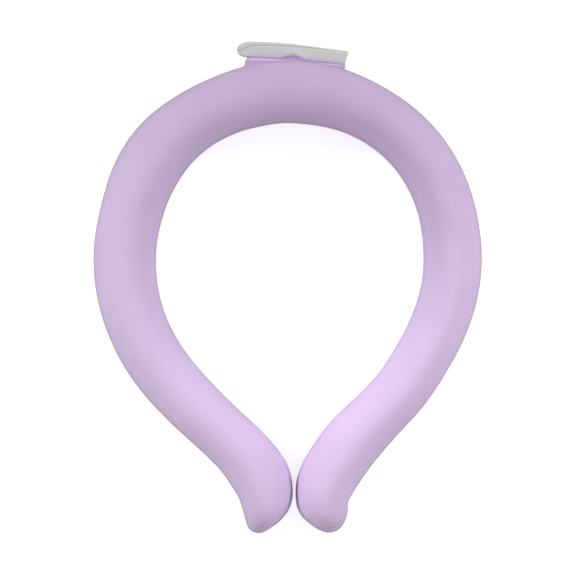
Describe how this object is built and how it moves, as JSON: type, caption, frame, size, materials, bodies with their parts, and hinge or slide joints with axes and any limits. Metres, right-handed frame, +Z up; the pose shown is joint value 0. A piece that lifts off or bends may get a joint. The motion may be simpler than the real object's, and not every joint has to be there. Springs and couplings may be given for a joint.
{
  "type": "cooling neck ring",
  "caption": "Soft cooling ring worn round the neck, open at the front, a coolant-filled tube with a sealed fill fin at its back.",
  "frame": {"origin": "middle of the footprint, on the surface that the ring lies on", "axes": "+Z up, out of the ring's plane; +Y towards the back of the ring, where the fill fin is, so the arms' tips point to -Y; +X to the right as seen from above with the back away"},
  "size_m": [0.1552, 0.196, 0.024],
  "materials": {
    "skin": "smooth matte lavender thermoplastic elastomer",
    "coolant": "set phase change wax, white",
    "film": "frosted grey film, a little glossy"
  },
  "bodies": {
    "root": {"ring_skin": "skin", "coolant_fill": "coolant", "seal_strip": "film"}
  },
  "joints": []
}
